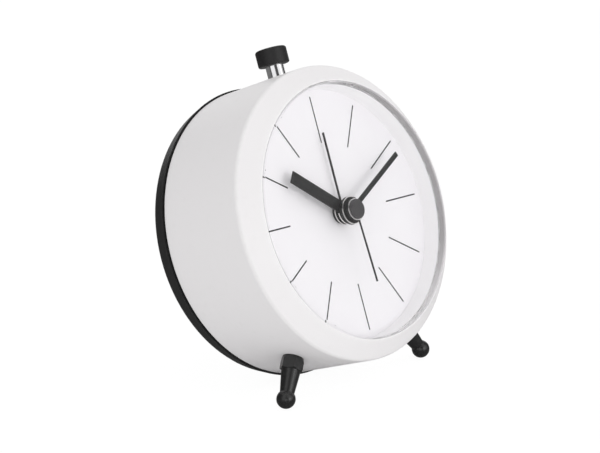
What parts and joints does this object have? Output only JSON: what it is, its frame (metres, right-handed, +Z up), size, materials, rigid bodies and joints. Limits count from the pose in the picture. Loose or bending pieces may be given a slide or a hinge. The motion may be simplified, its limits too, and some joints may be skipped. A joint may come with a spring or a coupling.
{
  "type": "desk alarm clock",
  "caption": "round desk alarm clock that leans back on ball feet, with a clear front, plain hands, a geared quartz movement and a push button on top",
  "frame": {"origin": "on the surface the clock stands on, below the middle of its outer box", "axes": "+Z up; the dial faces -Y and leans back; +X is the reader's right, towards 3 o'clock"},
  "size_m": [0.0962, 0.069, 0.1073],
  "materials": {
    "white_case": "matt moulded ABS",
    "white_ring": "matt moulded ABS",
    "dial_face": "matt white paint",
    "clear_lens": "clear polished acrylic",
    "black_cover": "fine-grained moulded ABS",
    "black_gloss": "smooth moulded ABS",
    "black_paint": "satin black paint",
    "hand_paint": "matt black paint",
    "chrome": "bright chrome plate",
    "steel": "plain machined steel",
    "zinc_screw": "bright zinc plate",
    "brass": "turned brass",
    "gear_plastic": "natural acetal",
    "movement_plastic": "moulded ABS",
    "magnet": "sintered ferrite",
    "core_iron": "punched soft iron",
    "copper": "enamelled copper wire",
    "bobbin": "moulded nylon",
    "board": "solder-masked laminate",
    "chip": "black resin",
    "cell": "plain printed sleeve",
    "contact": "nickel-plated spring steel"
  },
  "bodies": {
    "clock": {"case_shell": "white_case", "lens": "clear_lens", "dial_ring": "white_ring", "dial": "dial_face", "dial_carrier": "movement_plastic", "movement_plate": "movement_plastic", "movement_housing": "movement_plastic", "movement_screws": "zinc_screw", "stator": "core_iron", "coil_core": "core_iron", "coil_bobbin": "bobbin", "coil_winding": "copper", "circuit_board": "board", "quartz_crystal": "steel", "clock_chip": "chip", "back_cover": "black_cover", "cover_screws": "zinc_screw", "battery": "cell", "battery_contact_positive": "contact", "battery_contact_negative": "contact", "alarm_switch": "movement_plastic", "buzzer": "brass", "stem_guide": "movement_plastic", "button_spring": "contact", "snooze_switch": "movement_plastic", "foot_left": "black_paint", "foot_right": "black_paint", "foot_washers": "zinc_screw", "foot_nuts": "zinc_screw"},
    "second": {"second_hand": "hand_paint", "second_hand_cap": "hand_paint", "second_wheel": "gear_plastic"},
    "minute": {"minute_hand": "hand_paint", "cannon_pinion": "brass", "clutch_washer": "contact"},
    "hour": {"hour_hand": "hand_paint", "hour_wheel": "gear_plastic"},
    "alarm": {"alarm_hand": "hand_paint", "alarm_wheel": "gear_plastic"},
    "motion": {"motion_wheel": "gear_plastic"},
    "centre": {"centre_wheel": "gear_plastic"},
    "third": {"third_wheel": "gear_plastic"},
    "intermediate": {"intermediate_wheel": "gear_plastic"},
    "rotor": {"rotor_pinion": "gear_plastic", "rotor_magnet": "magnet"},
    "time_set": {"time_knob": "black_gloss", "time_set_arbor": "gear_plastic"},
    "alarm_set": {"alarm_knob": "black_gloss", "alarm_set_arbor": "gear_plastic"},
    "button": {"button_cap": "black_gloss", "button_stem": "chrome", "stem_clip": "contact"},
    "lever": {"alarm_switch_lever": "black_gloss"},
    "door": {"battery_door": "black_cover"}
  },
  "joints": [
    {"name": "second_hand_turn", "type": "hinge", "parent": "clock", "child": "second", "pos_m": [0, -0.01336, 0.05471], "axis": [0, 0.9567, -0.2911], "continuous": true},
    {"name": "intermediate_wheel_turn", "type": "hinge", "parent": "clock", "child": "intermediate", "pos_m": [-0.01126, -0.01526, 0.0485], "axis": [0, 0.9567, -0.2911], "continuous": true},
    {"name": "rotor_turn", "type": "hinge", "parent": "clock", "child": "rotor", "pos_m": [-0.01126, -0.0184, 0.03816], "axis": [0, 0.9567, -0.2911], "continuous": true},
    {"name": "third_wheel_turn", "type": "hinge", "parent": "clock", "child": "third", "pos_m": [0.01126, -0.01526, 0.0485], "axis": [0, 0.9567, -0.2911], "continuous": true},
    {"name": "centre_wheel_turn", "type": "hinge", "parent": "clock", "child": "centre", "pos_m": [0, -0.01336, 0.05471], "axis": [0, 0.9567, -0.2911], "continuous": true},
    {"name": "time_knob_turn", "type": "hinge", "parent": "clock", "child": "time_set", "pos_m": [0.01132, -0.01045, 0.06429], "axis": [0, 0.9567, -0.2911], "continuous": true},
    {"name": "minute_hand_turn", "type": "hinge", "parent": "clock", "child": "minute", "pos_m": [0, -0.01336, 0.05471], "axis": [0, 0.9567, -0.2911], "continuous": true},
    {"name": "motion_wheel_turn", "type": "hinge", "parent": "clock", "child": "motion", "pos_m": [0, -0.01005, 0.06562], "axis": [0, 0.9567, -0.2911], "continuous": true},
    {"name": "hour_hand_turn", "type": "hinge", "parent": "clock", "child": "hour", "pos_m": [0, -0.01336, 0.05471], "axis": [0, 0.9567, -0.2911], "continuous": true},
    {"name": "alarm_knob_turn", "type": "hinge", "parent": "clock", "child": "alarm_set", "pos_m": [-0.01132, -0.01045, 0.06429], "axis": [0, 0.9567, -0.2911], "continuous": true},
    {"name": "alarm_hand_turn", "type": "hinge", "parent": "clock", "child": "alarm", "pos_m": [0, -0.01336, 0.05471], "axis": [0, 0.9567, -0.2911], "continuous": true},
    {"name": "button_press", "type": "slide", "parent": "clock", "child": "button", "axis": [0, -0.2911, -0.9567], "range_m": [0, 0.003], "stiffness_N_per_m": 150, "springref_m": -0.003, "deforming": ["button_spring"]},
    {"name": "alarm_switch_slide", "type": "slide", "parent": "clock", "child": "lever", "axis": [1, 0, 0], "range_m": [0, 0.004]},
    {"name": "battery_door_lift", "type": "slide", "parent": "clock", "child": "door", "axis": [0, 0.9567, -0.2911], "range_m": [0, 0.02]}
  ],
  "couplings": [
    {"joint": "intermediate_wheel_turn", "follows": "second_hand_turn", "ratio": -6},
    {"joint": "rotor_turn", "follows": "second_hand_turn", "ratio": 30},
    {"joint": "third_wheel_turn", "follows": "second_hand_turn", "ratio": -0.13333},
    {"joint": "centre_wheel_turn", "follows": "second_hand_turn", "ratio": 0.016667},
    {"joint": "motion_wheel_turn", "follows": "time_knob_turn", "ratio": -0.33333},
    {"joint": "minute_hand_turn", "follows": "time_knob_turn", "ratio": 1},
    {"joint": "hour_hand_turn", "follows": "time_knob_turn", "ratio": 0.083333},
    {"joint": "alarm_hand_turn", "follows": "alarm_knob_turn", "ratio": -0.6}
  ]
}
